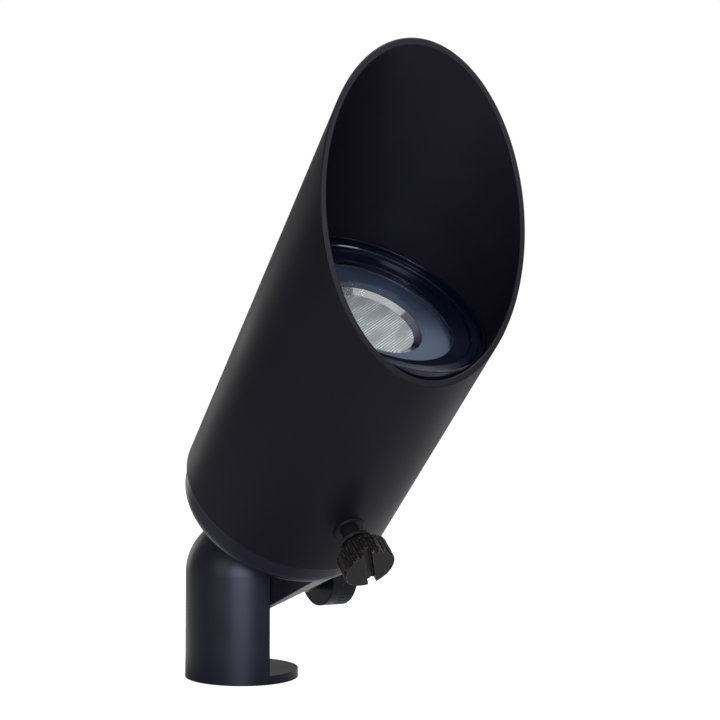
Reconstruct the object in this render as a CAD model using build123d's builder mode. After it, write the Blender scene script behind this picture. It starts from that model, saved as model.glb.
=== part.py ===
from build123d import *

import math
import os

# Low-voltage garden spotlight: a knuckle stem with a round base flange, a lamp housing that tilts on it,
# and a tube shroud with a slanted mouth that slides and turns on the housing. Millimetres and degrees.
# The origin is the centre of the base's underside, +Z is up, the tilt axis is along X, and the tube leans
# towards -Y. Heights along the tube are measured from the tilt pivot, on the tube's own axis, and reaches
# are measured square to that axis.

os.makedirs("parts", exist_ok=True)

# ---------------------------------------------------------------------------------------------- stance
tilt = 45.0
pivot_height = 32.0

# ------------------------------------------------------------------------------------------------ stem
stem_radius = 18.4
dome_rise = 1.6
flange_thickness = 2.8
stem_flat_x = 0.3
inlet_radius = 4.5
inlet_depth = 12.0
wire_way_x = -7.6
wire_way_radius = 2.8
chamber_wall = 1.6
chamber_width = 4.8
chamber_depth = 9.0

# ------------------------------------------------------------------------- knuckle joint and its screw
knuckle_gap = 0.5
flare_inset = 5.1
flare_tuck = 0.3
seal_land = 0.9
seal_width = 1.8
seal_groove_depth = 1.3
seal_margin = 1.2
boss_radius = 6.2
boss_face_x = 24.6
tilt_screw_radius = 3.0
tilt_screw_depth = 13.0
flat_washer_radius = 5.9
flat_washer_thickness = 1.6
spring_washer_width = 2.4
spring_washer_thickness = 1.8
spring_washer_split = 1.0
tilt_hub_radius = 5.4
tilt_hub_length = 0.74
tilt_head_radius = 11.0
tilt_head_thickness = 9.7
tilt_collar_length = 3.9
tilt_flutes = 40
tilt_flute_radius = 0.45
tilt_flute_depth = 0.35

# ------------------------------------------------------------------------------- lamp (50 mm reflector)
lamp_radius = 24.9
lamp_length = 27.0
lamp_gap = 0.25
lamp_rim_width = 0.9
lamp_rim_height = 4.5
bezel_thickness = 2.0
bezel_dish = 0.6
reflector_radius = 14.2
reflector_step = 1.9
reflector_wall = 0.8
optic_recess = 1.2
optic_rim = 0.8
optic_foot_radius = 5.0
optic_depth = 11.5
board_radius = 13.0
board_margin = 2.0
board_thickness = 1.6
emitter_radius = 3.5
emitter_thickness = 0.6
heatsink_foot_radius = 15.5
heatsink_core_wall = 1.0
fin_count = 20
fin_gap = 2.4
lamp_base_length = 14.0
lamp_base_radius = 12.5
lamp_base_foot_radius = 8.5
lamp_base_collar = 2.4
pin_radius = 0.75
pin_spacing = 5.33
pin_length = 7.0
pin_bite = 4.0
cushion_thickness = 2.0
cushion_height = 5.0

# --------------------------------------------------------------------------------------------- housing
cap_bottom = 30.5
cap_length = 9.2
cap_round = 5.2
cap_inset = 1.4
seam_chamfer = 0.5
floor_thickness = 3.5
barrel_wall = 2.0
barrel_length = 66.5
ring_thread_step = 1.0
ring_thread_length = 4.9

# ---------------------------------------------------------------------------------------------- shroud
shroud_play = 1.25
shroud_wall = 1.6
shroud_length = 100.7
shroud_back_round = 0.8
seam_gap = 0.3
mouth_angle = 44.0
rim_round = 0.3
glide_setback = 3.5
glide_width = 4.6
glide_groove_depth = 0.6
glide_split = 1.2

# ---------------------------------------------------------------------------------- shroud's lock screw
lock_setback = 18.2
lock_screw_radius = 2.5
bush_wall = 2.0
bush_proud = 0.5
lock_washer_gap = 4.05
lock_washer_radius = 4.7
lock_washer_thickness = 0.8
lock_collar_gap = 0.85
lock_collar_radius = 4.6
lock_collar_thickness = 0.8
lock_neck = 1.25
lock_head_radius = 7.3
lock_head_thickness = 6.2
lock_flutes = 26
lock_flute_radius = 0.35
lock_flute_depth = 0.35
slot_width = 2.3
slot_depth = 2.0
slot_turn = 31.0

# ----------------------------------------------------------------------------------- lens and its ring
ring_proud = 0.85
ring_rise = 6.8
ring_skirt_length = 4.6
ring_rim_width = 0.75
ring_groove_width = 0.7
ring_groove_depth = 1.5
ring_band_drop = 0.8
ring_lip_width = 3.75
ring_lip_drop = 2.3
ring_flange_width = 4.2
ring_flange_slope = 0.5
ring_flange_thickness = 0.9
ring_chamfer = 0.25
glass_inset = 0.9
glass_thickness = 2.0
gasket_width = 2.0

# --------------------------------------------------------------------------------- socket and bracket
socket_gap = 0.3
socket_length = 19.0
socket_width = 9.6
socket_round = 2.0
socket_body_height = 8.8
socket_nose_length = 9.6
socket_nose_height = 3.7
socket_screw_radius = 1.25
socket_screw_head_radius = 2.1
socket_screw_head_thickness = 1.5
contact_wall = 0.55
contact_length = 8.0
contact_inset = 1.0
strap_thickness = 1.2
strap_width = 9.0
strap_leg_gap = 0.4
strap_foot_length = 7.0
strap_window_margin = 0.7
foot_screw_radius = 1.5
foot_screw_head_radius = 2.8
foot_screw_head_thickness = 1.8
foot_screw_bite = 2.8

# ---------------------------------------------------------------------------------------------- wiring
lead_radius = 0.9
lead_gap = 0.4
lead_bend_radius = 5.0
lead_slant = 50.0
lead_way_x = 7.0
lead_way_play = 0.6
grommet_wall = 1.4
grommet_flange_width = 1.0
grommet_flange_thickness = 1.0
grommet_depth = 2.9

# ------------------------------------------------------------------------------- clearances and edges
thread_clearance = 0.05
slip_clearance = 0.05
seat_clearance = 0.05
fit_clearance = 0.02
screw_hole_clearance = 0.1
edge_round = 0.3

# ----------------------------------------------------------------------------------- directions, planes
lean = math.radians(tilt)
slant = math.radians(mouth_angle)
pivot = Vector(0, 0, pivot_height)
side = Vector(1, 0, 0)
along = Vector(0, -math.sin(lean), math.cos(lean))
under = Vector(0, -math.cos(lean), -math.sin(lean))
tube_axis = Axis(pivot, along)
tube_profile = Plane(origin=pivot, x_dir=under * -1, z_dir=side)
tube_front_view = Plane(origin=pivot, x_dir=side, z_dir=under)
tilt_axis = Axis(pivot, side)
tilt_profile = Plane(origin=pivot, x_dir=(0, 0, 1), z_dir=(0, 1, 0))

# ------------------------------------------------------------------------------------ sizes that follow
arm_flat_x = stem_flat_x + knuckle_gap
chamber_inner_radius = tilt_screw_radius + chamber_wall
chamber_outer_radius = chamber_inner_radius + chamber_width
seal_inner_radius = chamber_outer_radius + seal_land
seal_outer_radius = seal_inner_radius + seal_width
knuckle_radius = seal_outer_radius + seal_margin
port_reach = chamber_inner_radius + chamber_width / 2

barrel_bore = lamp_radius + cushion_thickness
barrel_radius = barrel_bore + barrel_wall
shroud_bore = barrel_radius + shroud_play
shroud_radius = shroud_bore + shroud_wall
cap_radius = shroud_radius - cap_inset
ring_thread_radius = barrel_radius - ring_thread_step
ring_radius = barrel_radius + ring_proud
ring_rim_radius = ring_radius - ring_rim_width
ring_band_radius = ring_rim_radius - ring_groove_width
ring_lip_radius = ring_radius - ring_lip_width
ring_bore_radius = ring_lip_radius - ring_flange_width
glass_radius = ring_thread_radius - glass_inset

floor_top = cap_bottom + floor_thickness
seam_height = cap_bottom + cap_length
barrel_front = seam_height + barrel_length
ring_top = barrel_front + ring_rise
ring_groove_floor = ring_top - ring_groove_depth
ring_band_top = ring_top - ring_band_drop
ring_flange_top = ring_top - ring_lip_drop
ring_flange_bottom = ring_flange_top - ring_flange_slope - ring_flange_thickness
glass_top = ring_flange_bottom - seat_clearance
glass_bottom = glass_top - glass_thickness

lamp_front = glass_bottom - lamp_gap
lamp_rim_bottom = lamp_front - lamp_rim_height
bezel_radius = lamp_radius - lamp_rim_width
bezel_back = lamp_front - bezel_thickness
reflector_front = lamp_front - bezel_dish
optic_radius = reflector_radius - reflector_step
optic_top = reflector_front - optic_recess
reflector_foot = optic_top - optic_depth
board_bottom = reflector_foot - fit_clearance - board_thickness
heatsink_pocket_radius = board_radius + board_margin
heatsink_core_radius = heatsink_pocket_radius + heatsink_core_wall
heatsink_bottom = lamp_front - lamp_length
lamp_base_top = heatsink_bottom - fit_clearance
lamp_base_bottom = heatsink_bottom - lamp_base_length

lead_spacing = 2 * lead_radius + lead_gap
lead_way_radius = lead_spacing / 2 + lead_radius + lead_way_play
grommet_bore = lead_spacing / 2 + lead_radius + fit_clearance
grommet_radius = grommet_bore + grommet_wall
grommet_flange_radius = grommet_radius + grommet_flange_width

socket_top = lamp_base_bottom - socket_gap
socket_shoulder = socket_top - socket_nose_height
socket_bottom = socket_shoulder - socket_body_height
socket_screw_spacing = (socket_length + socket_nose_length) / 2
contact_radius = pin_radius + contact_wall
contact_bottom = socket_top - contact_inset - contact_length
strap_span = 2 * (lead_way_x + grommet_flange_radius + strap_leg_gap + strap_thickness)
strap_top = socket_bottom - fit_clearance
strap_plate_bottom = strap_top - strap_thickness
strap_foot_bottom = floor_top + fit_clearance
strap_foot_top = strap_foot_bottom + strap_thickness
strap_foot_x = (strap_span + strap_foot_length) / 2 - strap_thickness
foot_screw_spacing = strap_span + strap_foot_length - strap_thickness

shroud_back = seam_height + seam_gap
mouth_height = seam_height + shroud_length
glide_height = seam_height + glide_setback
glide_groove_radius = shroud_bore + glide_groove_depth
lock_height = seam_height + lock_setback
bush_radius = lock_screw_radius + bush_wall
lock_washer_start = shroud_radius + bush_proud + lock_washer_gap
lock_collar_start = lock_washer_start + lock_washer_thickness + lock_collar_gap
lock_collar_end = lock_collar_start + lock_collar_thickness
lock_head_start = lock_collar_end + lock_neck
lock_tip = barrel_radius + seat_clearance
lock_axis = Axis(pivot + along * lock_height, under)
lock_profile = Plane(origin=pivot + along * lock_height, x_dir=side, z_dir=along * -1)

tilt_tip_x = stem_flat_x - tilt_screw_depth
flat_washer_x = boss_face_x + fit_clearance
spring_washer_x = flat_washer_x + flat_washer_thickness + fit_clearance
tilt_hub_x = spring_washer_x + spring_washer_thickness + fit_clearance
tilt_head_x = tilt_hub_x + tilt_hub_length


def tube_plane(height, x=0.0):
    """Plane square to the tube, with its x to the side and its y to the tube's upper side."""
    return Plane(origin=pivot + along * height + side * x, x_dir=side, z_dir=along)


def lock_plane(reach):
    """Plane square to the shroud's lock screw, that far out from the tube's axis."""
    return Plane(origin=pivot + along * lock_height + under * reach, x_dir=side, z_dir=under)


def tilt_plane(x):
    """Plane square to the tilt axis."""
    return Plane(origin=pivot + side * x, x_dir=(0, 1, 0), z_dir=side)


def disc(plane, radius, thickness, mode=Mode.ADD):
    """Round plate, or round hole, on a plane."""
    with BuildSketch(plane) as outline:
        Circle(radius)
    extrude(outline.sketch, amount=thickness, mode=mode)


def ring(plane, outer, inner, thickness, mode=Mode.ADD):
    """Flat ring, or ring-shaped groove, on a plane."""
    with BuildSketch(plane) as outline:
        Circle(outer)
        Circle(inner, mode=Mode.SUBTRACT)
    extrude(outline.sketch, amount=thickness, mode=mode)


def pair(plane, spacing, radius, thickness, mode=Mode.ADD):
    """Two equal pins, or holes, side by side on a plane."""
    with BuildSketch(plane) as outline:
        with GridLocations(spacing, 0, 2, 1):
            Circle(radius)
    extrude(outline.sketch, amount=thickness, mode=mode)


def turned(points, plane=tube_profile, axis=tube_axis):
    """Solid turned about an axis from (radius, distance along the axis) points."""
    with BuildSketch(plane) as outline:
        with BuildLine():
            Polyline(*points, close=True)
        make_face()
    revolve(outline.sketch, axis=axis)


def flutes(plane, radius, thickness, count, flute_radius, flute_depth):
    """Straight grooves cut round the rim of a thumbscrew's head."""
    with BuildSketch(plane) as outline:
        with PolarLocations(radius + flute_radius - flute_depth, count):
            Circle(flute_radius)
    extrude(outline.sketch, amount=thickness, mode=Mode.SUBTRACT)


def slot(plane, length, turn):
    """Screwdriver slot across a thumbscrew's face."""
    with BuildSketch(plane) as outline:
        Rectangle(slot_width, length, rotation=turn)
    extrude(outline.sketch, amount=-slot_depth, mode=Mode.SUBTRACT)


# =============================================================================================== stem

with BuildPart() as knuckle_stem:
    disc(Plane.XY, stem_radius, pivot_height + dome_rise)
    with Locations((0, 0, pivot_height + dome_rise)):
        Sphere(stem_radius)
    split(bisect_by=Plane.YZ.offset(stem_flat_x), keep=Keep.BOTTOM)
    disc(Plane.XY, stem_radius, flange_thickness)
    disc(Plane.XY.move(Location((wire_way_x, 0, 0))), inlet_radius, inlet_depth, Mode.SUBTRACT)
    disc(
        Plane.XY.move(Location((wire_way_x, 0, 0))),
        wire_way_radius,
        pivot_height - port_reach,
        Mode.SUBTRACT,
    )
    ring(
        tilt_plane(stem_flat_x),
        chamber_outer_radius,
        chamber_inner_radius,
        -chamber_depth,
        Mode.SUBTRACT,
    )
    ring(
        tilt_plane(stem_flat_x),
        seal_outer_radius,
        seal_inner_radius,
        -seal_groove_depth,
        Mode.SUBTRACT,
    )
    disc(
        tilt_plane(stem_flat_x),
        tilt_screw_radius + thread_clearance,
        tilt_tip_x - stem_flat_x - screw_hole_clearance,
        Mode.SUBTRACT,
    )
knuckle_stem.part.label = "knuckle_stem"
export_step(knuckle_stem.part, "parts/knuckle_stem.step")

with BuildPart() as knuckle_seal:
    ring(
        tilt_plane(stem_flat_x - seal_groove_depth + fit_clearance),
        seal_outer_radius - fit_clearance,
        seal_inner_radius + fit_clearance,
        seal_groove_depth + knuckle_gap - 2 * fit_clearance,
    )
knuckle_seal.part.label = "knuckle_seal"
export_step(knuckle_seal.part, "parts/knuckle_seal.step")

with BuildPart() as knuckle_washer:
    ring(
        tilt_plane(stem_flat_x + fit_clearance),
        chamber_inner_radius,
        tilt_screw_radius + screw_hole_clearance,
        knuckle_gap - 2 * fit_clearance,
    )
knuckle_washer.part.label = "knuckle_washer"
export_step(knuckle_washer.part, "parts/knuckle_washer.step")

# ============================================================================================ housing

flare_top = (cap_radius - flare_tuck, seam_height - flare_inset)
flare = math.atan2(*flare_top) - math.asin(knuckle_radius / math.hypot(*flare_top))
knuckle_bottom = (0, -knuckle_radius)
knuckle_tangent = (knuckle_radius * math.cos(flare), -knuckle_radius * math.sin(flare))
cap_edge = (cap_radius, cap_bottom + cap_round)
cap_corner = (cap_radius - cap_round, cap_bottom)

with BuildPart() as lamp_housing:
    # the flared half cone, with its round end at the pivot, and the boss for the tilt screw
    with BuildSketch(tube_profile):
        with BuildLine():
            RadiusArc(knuckle_bottom, knuckle_tangent, -knuckle_radius)
            Polyline(knuckle_tangent, flare_top, (0, flare_top[1]), knuckle_bottom)
        make_face()
    revolve(axis=tube_axis)
    disc(tilt_plane(0), boss_radius, boss_face_x)
    split(bisect_by=Plane.YZ.offset(arm_flat_x), keep=Keep.TOP)
    # the cap that closes the tube, and the barrel that the shroud slides on
    with BuildSketch(tube_profile):
        with BuildLine():
            RadiusArc(cap_edge, cap_corner, cap_round)
            Polyline(
                cap_corner,
                (0, cap_bottom),
                (0, barrel_front),
                (ring_thread_radius, barrel_front),
                (ring_thread_radius, barrel_front - ring_thread_length),
                (barrel_radius, barrel_front - ring_thread_length),
                (barrel_radius, seam_height),
                (cap_radius - seam_chamfer, seam_height),
                (cap_radius, seam_height - seam_chamfer),
                cap_edge,
            )
        make_face()
    revolve(axis=tube_axis)
    disc(tube_plane(floor_top), barrel_bore, barrel_front - floor_top, Mode.SUBTRACT)
    disc(tilt_plane(0), tilt_screw_radius + screw_hole_clearance, boss_face_x, Mode.SUBTRACT)
    # the leads' way: down from the floor beside the tilt screw, then out through the arm's flat
    disc(
        tube_plane(port_reach, lead_way_x),
        lead_way_radius,
        floor_top - port_reach,
        Mode.SUBTRACT,
    )
    disc(
        Plane(origin=pivot + along * port_reach, x_dir=(0, 1, 0), z_dir=side),
        chamber_width / 2,
        lead_way_x + lead_way_radius,
        Mode.SUBTRACT,
    )
    disc(
        tube_plane(floor_top, lead_way_x),
        grommet_radius + fit_clearance,
        -grommet_depth - fit_clearance,
        Mode.SUBTRACT,
    )
    pair(
        tube_plane(floor_top),
        foot_screw_spacing,
        foot_screw_radius + thread_clearance,
        -foot_screw_bite - screw_hole_clearance,
        Mode.SUBTRACT,
    )
lamp_housing.part.label = "lamp_housing"
export_step(lamp_housing.part, "parts/lamp_housing.step")

# ==================================================================================== lens and its ring

with BuildPart() as lens_ring:
    turned(
        [
            (ring_thread_radius + thread_clearance, barrel_front - ring_skirt_length),
            (ring_radius, barrel_front - ring_skirt_length),
            (ring_radius, ring_top - ring_chamfer),
            (ring_radius - ring_chamfer, ring_top),
            (ring_rim_radius, ring_top),
            (ring_rim_radius, ring_groove_floor),
            (ring_band_radius, ring_groove_floor),
            (ring_band_radius, ring_band_top - ring_chamfer),
            (ring_band_radius - ring_chamfer, ring_band_top),
            (ring_lip_radius + ring_chamfer, ring_band_top),
            (ring_lip_radius, ring_band_top - ring_chamfer),
            (ring_lip_radius, ring_flange_top),
            (ring_bore_radius, ring_flange_top - ring_flange_slope),
            (ring_bore_radius, ring_flange_bottom),
            (ring_thread_radius + thread_clearance, ring_flange_bottom),
        ]
    )
lens_ring.part.label = "lens_ring"
export_step(lens_ring.part, "parts/lens_ring.step")

with BuildPart() as lens_glass:
    disc(tube_plane(glass_bottom), glass_radius, glass_thickness)
    chamfer(edges().filter_by(GeomType.CIRCLE), length=edge_round)
lens_glass.part.label = "lens_glass"
export_step(lens_glass.part, "parts/lens_glass.step")

with BuildPart() as lens_gasket:
    ring(
        tube_plane(barrel_front + fit_clearance),
        ring_thread_radius - slip_clearance,
        ring_thread_radius - gasket_width,
        glass_bottom - barrel_front - fit_clearance - seat_clearance,
    )
lens_gasket.part.label = "lens_gasket"
export_step(lens_gasket.part, "parts/lens_gasket.step")

# =============================================================================================== lamp

with BuildPart() as lamp_heatsink:
    turned(
        [
            (0, heatsink_bottom),
            (heatsink_foot_radius, heatsink_bottom),
            (lamp_radius, lamp_rim_bottom),
            (lamp_radius, lamp_front),
            (bezel_radius + fit_clearance, lamp_front),
            (bezel_radius + fit_clearance, bezel_back - fit_clearance),
            (0, bezel_back - fit_clearance),
        ]
    )
    disc(
        tube_plane(board_bottom - fit_clearance),
        heatsink_pocket_radius,
        bezel_back - board_bottom,
        Mode.SUBTRACT,
    )
    with BuildSketch(tube_plane(heatsink_bottom + fin_gap)):
        with PolarLocations(heatsink_core_radius + lamp_radius / 2, fin_count):
            Rectangle(lamp_radius, fin_gap)
    extrude(amount=lamp_rim_bottom - heatsink_bottom - 2 * fin_gap, mode=Mode.SUBTRACT)
lamp_heatsink.part.label = "lamp_heatsink"
export_step(lamp_heatsink.part, "parts/lamp_heatsink.step")

with BuildPart() as lamp_bezel:
    turned(
        [
            (reflector_radius + fit_clearance, bezel_back),
            (bezel_radius, bezel_back),
            (bezel_radius, lamp_front),
            (bezel_radius - lamp_rim_width, lamp_front),
            (reflector_radius + fit_clearance, reflector_front),
        ]
    )
lamp_bezel.part.label = "lamp_bezel"
export_step(lamp_bezel.part, "parts/lamp_bezel.step")

with BuildPart() as lamp_reflector:
    turned(
        [
            (reflector_radius, reflector_front),
            (optic_radius + fit_clearance, optic_top),
            (optic_radius + fit_clearance, optic_top - optic_rim),
            (optic_foot_radius + fit_clearance, reflector_foot),
            (optic_foot_radius + fit_clearance + reflector_wall, reflector_foot),
            (optic_radius + reflector_wall, optic_top - optic_rim - reflector_wall),
            (reflector_radius, bezel_back),
        ]
    )
lamp_reflector.part.label = "lamp_reflector"
export_step(lamp_reflector.part, "parts/lamp_reflector.step")

with BuildPart() as lamp_optic:
    turned(
        [
            (0, reflector_foot + emitter_thickness),
            (optic_foot_radius, reflector_foot + emitter_thickness),
            (optic_radius, optic_top - optic_rim),
            (optic_radius, optic_top),
            (0, optic_top),
        ]
    )
lamp_optic.part.label = "lamp_optic"
export_step(lamp_optic.part, "parts/lamp_optic.step")

with BuildPart() as lamp_board:
    disc(tube_plane(board_bottom), board_radius, board_thickness)
    disc(tube_plane(board_bottom + board_thickness), emitter_radius, emitter_thickness)
lamp_board.part.label = "lamp_board"
export_step(lamp_board.part, "parts/lamp_board.step")

with BuildPart() as lamp_base:
    turned(
        [
            (0, lamp_base_bottom),
            (lamp_base_foot_radius, lamp_base_bottom),
            (lamp_base_radius, lamp_base_top - lamp_base_collar),
            (lamp_base_radius, lamp_base_top),
            (0, lamp_base_top),
        ]
    )
    pair(
        tube_plane(lamp_base_bottom),
        pin_spacing,
        pin_radius + fit_clearance,
        pin_bite + fit_clearance,
        Mode.SUBTRACT,
    )
lamp_base.part.label = "lamp_base"
export_step(lamp_base.part, "parts/lamp_base.step")

with BuildPart() as lamp_pins:
    pair(tube_plane(lamp_base_bottom - pin_length), pin_spacing, pin_radius, pin_length + pin_bite)
lamp_pins.part.label = "lamp_pins"
export_step(lamp_pins.part, "parts/lamp_pins.step")

with BuildPart() as lamp_cushion:
    ring(
        tube_plane(barrel_front - cushion_height),
        barrel_bore - fit_clearance,
        lamp_radius + fit_clearance,
        cushion_height,
    )
lamp_cushion.part.label = "lamp_cushion"
export_step(lamp_cushion.part, "parts/lamp_cushion.step")

# ================================================================================= socket and bracket

with BuildPart() as lamp_socket:
    with BuildSketch(tube_plane(socket_bottom)):
        RectangleRounded(socket_length, socket_width, socket_round)
    extrude(amount=socket_body_height)
    with BuildSketch(tube_plane(socket_bottom)):
        RectangleRounded(socket_nose_length, socket_width, socket_round)
    extrude(amount=socket_body_height + socket_nose_height)
    pair(
        tube_plane(socket_top),
        pin_spacing,
        contact_radius + fit_clearance,
        contact_bottom - socket_top - fit_clearance,
        Mode.SUBTRACT,
    )
    pair(
        tube_plane(socket_bottom),
        pin_spacing,
        lead_radius + fit_clearance,
        contact_bottom - socket_bottom,
        Mode.SUBTRACT,
    )
    pair(
        tube_plane(socket_bottom),
        socket_screw_spacing,
        socket_screw_radius + screw_hole_clearance,
        socket_body_height,
        Mode.SUBTRACT,
    )
lamp_socket.part.label = "lamp_socket"
export_step(lamp_socket.part, "parts/lamp_socket.step")

with BuildPart() as socket_contacts:
    pair(tube_plane(contact_bottom), pin_spacing, contact_radius, contact_length)
    pair(
        tube_plane(contact_bottom),
        pin_spacing,
        pin_radius + fit_clearance,
        contact_length,
        Mode.SUBTRACT,
    )
socket_contacts.part.label = "socket_contacts"
export_step(socket_contacts.part, "parts/socket_contacts.step")

with BuildPart() as socket_bracket:
    with BuildSketch(tube_front_view.offset(-strap_width / 2)):
        with Locations((0, (strap_top + strap_foot_bottom) / 2)):
            Rectangle(strap_span, strap_top - strap_foot_bottom)
        with Locations((0, (strap_plate_bottom + strap_foot_bottom) / 2)):
            Rectangle(
                strap_span - 2 * strap_thickness,
                strap_plate_bottom - strap_foot_bottom,
                mode=Mode.SUBTRACT,
            )
        with Locations((0, strap_foot_bottom + strap_thickness / 2)):
            with GridLocations(2 * strap_foot_x, 0, 2, 1):
                Rectangle(strap_foot_length, strap_thickness)
    extrude(amount=strap_width)
    with BuildSketch(tube_plane(strap_top)):
        SlotCenterToCenter(pin_spacing, 2 * (lead_radius + strap_window_margin))
    extrude(amount=-strap_thickness, mode=Mode.SUBTRACT)
    pair(
        tube_plane(strap_top),
        socket_screw_spacing,
        socket_screw_radius + thread_clearance,
        -strap_thickness,
        Mode.SUBTRACT,
    )
    pair(
        tube_plane(strap_foot_bottom),
        foot_screw_spacing,
        foot_screw_radius + screw_hole_clearance,
        strap_thickness,
        Mode.SUBTRACT,
    )
socket_bracket.part.label = "socket_bracket"
export_step(socket_bracket.part, "parts/socket_bracket.step")

with BuildPart() as socket_screws:
    pair(
        tube_plane(strap_plate_bottom),
        socket_screw_spacing,
        socket_screw_radius,
        socket_shoulder - strap_plate_bottom + fit_clearance,
    )
    pair(
        tube_plane(socket_shoulder + fit_clearance),
        socket_screw_spacing,
        socket_screw_head_radius,
        socket_screw_head_thickness,
    )
    chamfer(edges().group_by(tube_axis)[-1], length=edge_round)
socket_screws.part.label = "socket_screws"
export_step(socket_screws.part, "parts/socket_screws.step")

with BuildPart() as bracket_screws:
    pair(
        tube_plane(floor_top - foot_screw_bite),
        foot_screw_spacing,
        foot_screw_radius,
        strap_foot_top - floor_top + foot_screw_bite + fit_clearance,
    )
    pair(
        tube_plane(strap_foot_top + fit_clearance),
        foot_screw_spacing,
        foot_screw_head_radius,
        foot_screw_head_thickness,
    )
    chamfer(edges().group_by(tube_axis)[-1], length=edge_round)
bracket_screws.part.label = "bracket_screws"
export_step(bracket_screws.part, "parts/bracket_screws.step")

# ============================================================================================== wiring

lead_run = math.tan(math.radians(lead_slant))
lead_offset = lead_spacing * math.tan(math.radians(lead_slant) / 2)
lead_low = floor_top + grommet_flange_thickness + lead_bend_radius

with BuildPart() as lead_wires:
    for place in (0, 1):
        top_x = (place - 0.5) * pin_spacing
        low_x = lead_way_x + (place - 0.5) * lead_spacing
        low_height = lead_low + place * lead_offset
        with BuildLine(tube_front_view) as route:
            FilletPolyline(
                (top_x, contact_bottom - fit_clearance),
                (top_x, low_height + (low_x - top_x) / lead_run),
                (low_x, low_height),
                (low_x, port_reach),
                radius=lead_bend_radius,
            )
        with BuildSketch(tube_plane(contact_bottom - fit_clearance, top_x)):
            Circle(lead_radius)
        sweep(path=route.line)
lead_wires.part.label = "lead_wires"
export_step(lead_wires.part, "parts/lead_wires.step")

with BuildPart() as lead_grommet:
    disc(tube_plane(floor_top - grommet_depth, lead_way_x), grommet_radius, grommet_depth)
    disc(
        tube_plane(floor_top + fit_clearance, lead_way_x),
        grommet_flange_radius,
        grommet_flange_thickness,
    )
    disc(tube_plane(floor_top, lead_way_x), grommet_radius, fit_clearance)
    disc(
        tube_plane(floor_top - grommet_depth, lead_way_x),
        grommet_bore,
        grommet_depth + grommet_flange_thickness + fit_clearance,
        Mode.SUBTRACT,
    )
lead_grommet.part.label = "lead_grommet"
export_step(lead_grommet.part, "parts/lead_grommet.step")

# ============================================================================================= shroud

mouth_plane = Plane(
    origin=pivot + along * mouth_height,
    x_dir=side,
    z_dir=along * math.cos(slant) + under * math.sin(slant),
)
shroud_blank = mouth_height + shroud_radius * math.tan(slant) + shroud_wall
back_edge = (shroud_radius, shroud_back + shroud_back_round)
back_corner = (shroud_radius - shroud_back_round, shroud_back)

with BuildPart() as shroud:
    with BuildSketch(tube_profile):
        with BuildLine():
            RadiusArc(back_edge, back_corner, shroud_back_round)
            Polyline(
                back_corner,
                (shroud_bore, shroud_back),
                (shroud_bore, shroud_blank),
                (shroud_radius, shroud_blank),
                back_edge,
            )
        make_face()
    revolve(axis=tube_axis)
    split(bisect_by=mouth_plane, keep=Keep.BOTTOM)
    fillet(faces().filter_by(mouth_plane).edges(), radius=rim_round)
    ring(
        tube_plane(glide_height - slip_clearance),
        glide_groove_radius,
        barrel_radius,
        glide_width + 2 * slip_clearance,
        Mode.SUBTRACT,
    )
    disc(lock_plane(barrel_radius), bush_radius + fit_clearance, shroud_radius, Mode.SUBTRACT)
shroud.part.label = "shroud"
export_step(shroud.part, "parts/shroud.step")

with BuildPart() as glide_ring:
    ring(
        tube_plane(glide_height),
        glide_groove_radius - slip_clearance,
        barrel_radius + slip_clearance,
        glide_width,
    )
    with BuildSketch(tube_plane(glide_height)):
        with Locations((0, barrel_radius + shroud_play / 2)):
            Rectangle(glide_split, 2 * shroud_play)
    extrude(amount=glide_width, mode=Mode.SUBTRACT)
glide_ring.part.label = "glide_ring"
export_step(glide_ring.part, "parts/glide_ring.step")

# ================================================================================= shroud's lock screw

with BuildPart() as screw_bush:
    disc(lock_plane(shroud_bore), bush_radius, shroud_wall + bush_proud)
    chamfer(edges().group_by(lock_axis)[-1], length=edge_round)
    disc(
        lock_plane(shroud_bore),
        lock_screw_radius + thread_clearance,
        shroud_wall + bush_proud,
        Mode.SUBTRACT,
    )
screw_bush.part.label = "screw_bush"
export_step(screw_bush.part, "parts/screw_bush.step")

with BuildPart() as shroud_screw_washer:
    ring(
        lock_plane(lock_washer_start),
        lock_washer_radius,
        lock_screw_radius + screw_hole_clearance,
        lock_washer_thickness,
    )
shroud_screw_washer.part.label = "shroud_screw_washer"
export_step(shroud_screw_washer.part, "parts/shroud_screw_washer.step")

lock_head_end = lock_head_start + lock_head_thickness

with BuildPart() as shroud_screw:
    turned(
        [
            (0, lock_head_start),
            (lock_head_radius - lock_flute_depth, lock_head_start),
            (lock_head_radius, lock_head_start + lock_flute_depth),
            (lock_head_radius, lock_head_end - lock_flute_depth),
            (lock_head_radius - lock_flute_depth, lock_head_end),
            (0, lock_head_end),
        ],
        lock_profile,
        lock_axis,
    )
    flutes(
        lock_plane(lock_head_start),
        lock_head_radius,
        lock_head_thickness,
        lock_flutes,
        lock_flute_radius,
        lock_flute_depth,
    )
    slot(lock_plane(lock_head_end), 2 * (lock_head_radius + slot_width), slot_turn)
    turned(
        [
            (0, lock_tip),
            (lock_screw_radius - edge_round, lock_tip),
            (lock_screw_radius, lock_tip + edge_round),
            (lock_screw_radius, lock_collar_start),
            (lock_collar_radius, lock_collar_start),
            (lock_collar_radius, lock_collar_end),
            (lock_screw_radius, lock_collar_end),
            (lock_screw_radius, lock_head_start),
            (0, lock_head_start),
        ],
        lock_profile,
        lock_axis,
    )
shroud_screw.part.label = "shroud_screw"
export_step(shroud_screw.part, "parts/shroud_screw.step")

# ============================================================================= tilt screw and washers

with BuildPart() as tilt_flat_washer:
    ring(
        tilt_plane(flat_washer_x),
        flat_washer_radius,
        tilt_screw_radius + screw_hole_clearance,
        flat_washer_thickness,
    )
tilt_flat_washer.part.label = "tilt_flat_washer"
export_step(tilt_flat_washer.part, "parts/tilt_flat_washer.step")

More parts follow.
